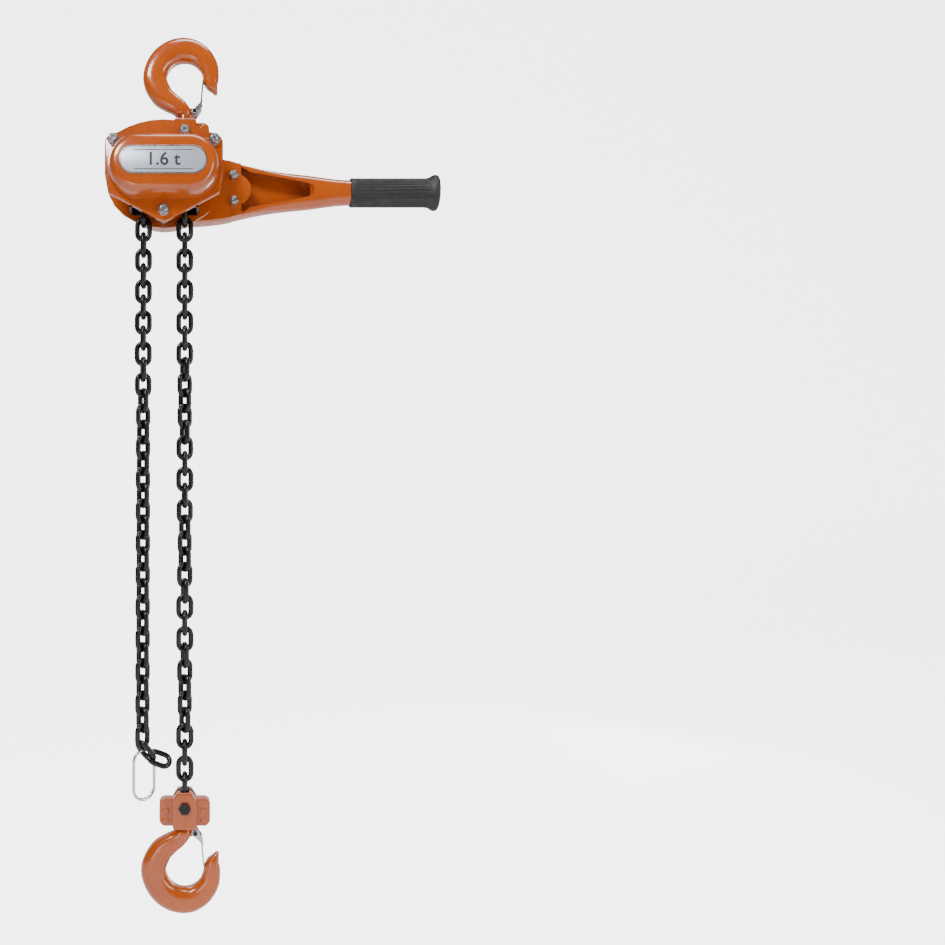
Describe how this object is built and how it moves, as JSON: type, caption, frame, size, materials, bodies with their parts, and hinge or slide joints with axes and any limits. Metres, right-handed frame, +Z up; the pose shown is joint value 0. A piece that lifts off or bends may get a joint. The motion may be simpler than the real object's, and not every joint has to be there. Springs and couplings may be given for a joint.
{
  "type": "lever chain hoist",
  "caption": "Hand lever chain hoist with two latched hooks, an orange body, a black chain and a rubber-gripped lever.",
  "frame": {"origin": "seat of the top hook, at the inner top of its bowl, where it bears on what it hangs from", "axes": "+Z up along the load line, +X towards the lever, +Y towards the handwheel"},
  "size_m": [0.4655, 0.1647, 1.1599],
  "materials": {
    "orange_paint": "gloss",
    "zinc": "satin",
    "steel": "satin",
    "blackened_steel": "satin",
    "friction_lining": "matte",
    "black_plastic": "satin",
    "black_rubber": "matte",
    "label_silver": "satin",
    "nameplate_black": "satin",
    "chrome": "gloss"
  },
  "bodies": {
    "hook_top": {"top_hook": "orange_paint", "top_latch_pin": "blackened_steel"},
    "latch_top": {"top_latch": "zinc"},
    "yoke_top": {"top_yoke_front": "orange_paint", "top_yoke_back": "orange_paint"},
    "frame": {"gear_side_plate": "orange_paint", "brake_side_plate": "orange_paint", "gear_cover": "orange_paint", "label_plate": "label_silver", "stay_bolt_left": "zinc", "stay_bolt_right": "zinc", "stay_bolt_bottom": "zinc", "stay_nut_left": "zinc", "stay_nut_right": "zinc", "stay_nut_bottom": "zinc", "sheave_bearing_front": "steel", "sheave_bearing_back": "steel", "chain_guide": "blackened_steel", "chain_over_sheave": "blackened_steel", "brake_cover": "orange_paint", "brake_cover_bolt_left": "zinc", "brake_cover_bolt_right": "zinc", "top_pin": "steel", "top_pin_nut": "zinc"},
    "pawl_upper": {"brake_pawl_upper": "steel"},
    "pawl_lower": {"brake_pawl_lower": "steel"},
    "drive": {"drive_shaft": "steel", "friction_disc_inner": "friction_lining", "friction_disc_outer": "friction_lining", "ratchet_disc": "steel", "changeover_gear": "steel", "handwheel": "black_plastic", "handwheel_nut": "zinc"},
    "stage_left": {"stage_gear_left": "steel"},
    "stage_right": {"stage_gear_right": "steel"},
    "sheave": {"load_sheave": "steel", "load_gear": "steel"},
    "lever": {"lever_body": "orange_paint", "lever_inner_plate": "orange_paint", "lever_grip": "black_rubber", "lever_head_bolt_upper": "zinc", "lever_head_bolt_lower": "zinc", "lever_nut_upper": "zinc", "lever_nut_lower": "zinc", "nameplate": "nameplate_black"},
    "selector": {"selector_knob": "black_plastic", "selector_shaft": "zinc"},
    "changeover": {"changeover_pawl": "steel"},
    "load_top": {"load_chain_top": "blackened_steel"},
    "load_fall": {"load_chain": "blackened_steel"},
    "tail_top": {"tail_chain_top": "blackened_steel"},
    "tail_fall": {"tail_chain": "blackened_steel"},
    "ring": {"tail_ring": "chrome"},
    "yoke_bottom": {"bottom_yoke_front": "orange_paint", "bottom_yoke_back": "orange_paint", "chain_pin": "blackened_steel"},
    "hook_bottom": {"bottom_hook": "orange_paint", "bottom_latch_pin": "blackened_steel"},
    "latch_bottom": {"bottom_latch": "zinc"}
  },
  "joints": [
    {"name": "top_swivel", "type": "hinge", "parent": "hook_top", "child": "yoke_top", "pos_m": [0, 0, -0.0857], "axis": [0, 0, 1], "continuous": true},
    {"name": "top_pin_tilt", "type": "hinge", "parent": "yoke_top", "child": "frame", "pos_m": [0, 0, -0.1047], "axis": [0, 1, 0], "range_deg": [-8, 8]},
    {"name": "top_latch_swing", "type": "hinge", "parent": "hook_top", "child": "latch_top", "pos_m": [0.0135, 0, -0.0707], "axis": [0, -1, 0], "range_deg": [0, 35], "stiffness_Nm_per_rad": 0.3, "springref_deg": -20.05},
    {"name": "brake_pawl_upper_swing", "type": "hinge", "parent": "frame", "child": "pawl_upper", "pos_m": [-0.01511, 0, -0.12112], "axis": [0, 1, 0], "range_deg": [0, 8], "stiffness_Nm_per_rad": 0.1, "springref_deg": -11.46},
    {"name": "brake_pawl_lower_swing", "type": "hinge", "parent": "frame", "child": "pawl_lower", "pos_m": [-0.04029, 0, -0.19028], "axis": [0, 1, 0], "range_deg": [0, 8], "stiffness_Nm_per_rad": 0.1, "springref_deg": -11.46},
    {"name": "handwheel_spin", "type": "hinge", "parent": "frame", "child": "drive", "pos_m": [-0.0277, 0, -0.1557], "axis": [0, -1, 0], "range_deg": [-214, 214]},
    {"name": "stage_left_spin", "type": "hinge", "parent": "frame", "child": "stage_left", "pos_m": [-0.0607, 0, -0.1557], "axis": [0, -1, 0], "range_deg": [-68.6, 68.6]},
    {"name": "stage_right_spin", "type": "hinge", "parent": "frame", "child": "stage_right", "pos_m": [0.0053, 0, -0.1557], "axis": [0, -1, 0], "range_deg": [-68.6, 68.6]},
    {"name": "sheave_turn", "type": "hinge", "parent": "frame", "child": "sheave", "pos_m": [-0.0277, 0, -0.1557], "axis": [0, -1, 0], "range_deg": [-34.4, 34.4]},
    {"name": "load_chain_lift", "type": "slide", "parent": "frame", "child": "load_top", "axis": [0, 0, 1], "range_m": [-0.016, 0.016]},
    {"name": "tail_chain_feed", "type": "slide", "parent": "frame", "child": "tail_top", "axis": [0, 0, -1], "range_m": [-0.016, 0.016]},
    {"name": "load_chain_swing", "type": "hinge", "parent": "load_top", "child": "load_fall", "pos_m": [0, 0, -0.22415], "axis": [0, -1, 0], "range_deg": [0, 8]},
    {"name": "tail_chain_swing", "type": "hinge", "parent": "tail_top", "child": "tail_fall", "pos_m": [-0.0554, 0, -0.22415], "axis": [0, 1, 0], "range_deg": [0, 8]},
    {"name": "ring_swing", "type": "hinge", "parent": "tail_fall", "child": "ring", "pos_m": [-0.0534, 0.002, -0.92025], "axis": [-0.5, 0.866, 0], "range_deg": [-4, 2]},
    {"name": "bottom_yoke_swing", "type": "hinge", "parent": "load_fall", "child": "yoke_bottom", "pos_m": [0, 0, -0.99], "axis": [0, 1, 0], "range_deg": [-4, 4]},
    {"name": "bottom_swivel", "type": "hinge", "parent": "yoke_bottom", "child": "hook_bottom", "pos_m": [0, 0, -1.009], "axis": [0, 0, 1], "continuous": true},
    {"name": "bottom_latch_swing", "type": "hinge", "parent": "hook_bottom", "child": "latch_bottom", "pos_m": [0.0135, 0, -1.024], "axis": [0, 1, 0], "range_deg": [0, 35], "stiffness_Nm_per_rad": 0.3, "springref_deg": -20.05},
    {"name": "lever_swing", "type": "hinge", "parent": "frame", "child": "lever", "pos_m": [-0.0277, 0, -0.1557], "axis": [0, 1, 0], "continuous": true},
    {"name": "selector_turn", "type": "hinge", "parent": "lever", "child": "selector", "pos_m": [0.0303, 0, -0.1557], "axis": [0, -1, 0], "range_deg": [0, 71.4]},
    {"name": "changeover_pawl_turn", "type": "hinge", "parent": "lever", "child": "changeover", "pos_m": [0.0303, 0, -0.1557], "axis": [0, -1, 0], "range_deg": [0, 14.3]}
  ],
  "couplings": [
    {"joint": "stage_left_spin", "follows": "handwheel_spin", "ratio": -0.32},
    {"joint": "stage_right_spin", "follows": "handwheel_spin", "ratio": -0.32},
    {"joint": "sheave_turn", "follows": "handwheel_spin", "ratio": 0.16},
    {"joint": "load_chain_lift", "follows": "handwheel_spin", "m_per_rad": 0.0042783},
    {"joint": "tail_chain_feed", "follows": "handwheel_spin", "m_per_rad": 0.0042783},
    {"joint": "changeover_pawl_turn", "follows": "selector_turn", "ratio": 0.2}
  ]
}
